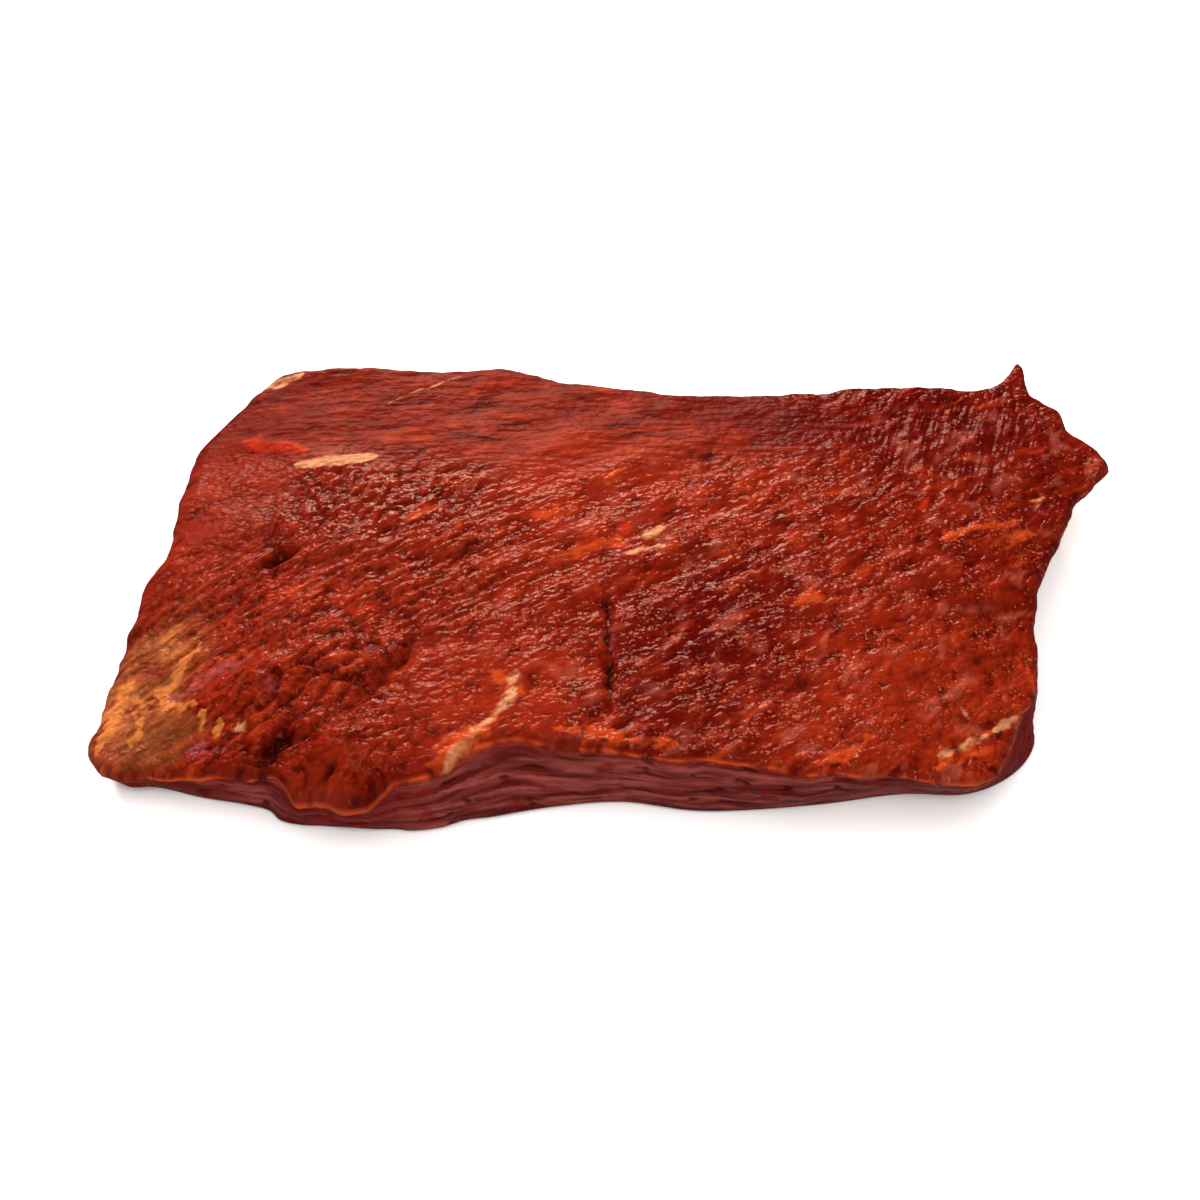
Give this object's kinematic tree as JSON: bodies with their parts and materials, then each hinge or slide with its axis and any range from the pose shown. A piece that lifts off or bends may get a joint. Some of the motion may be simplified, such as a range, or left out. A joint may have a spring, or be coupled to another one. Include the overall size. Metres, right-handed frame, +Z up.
{
  "type": "raw beef round roast",
  "caption": "Thick boneless slab of raw lean beef with a cut upper face, a thin tapering end and a flat underside, to be cooked or sliced",
  "frame": {"origin": "middle of the length and width, on the flat underside", "axes": "+X along the slab towards its pointed right end, +Y from the tall cut front side to the back, +Z up out of the upper face"},
  "size_m": [0.2932, 0.1588, 0.0347],
  "materials": {
    "raw_beef": "moist raw lean beef with a broken gloss, seen grain, and small streaks of pale and amber fat"
  },
  "bodies": {
    "root": {"beef_roast": "raw_beef"}
  },
  "joints": []
}
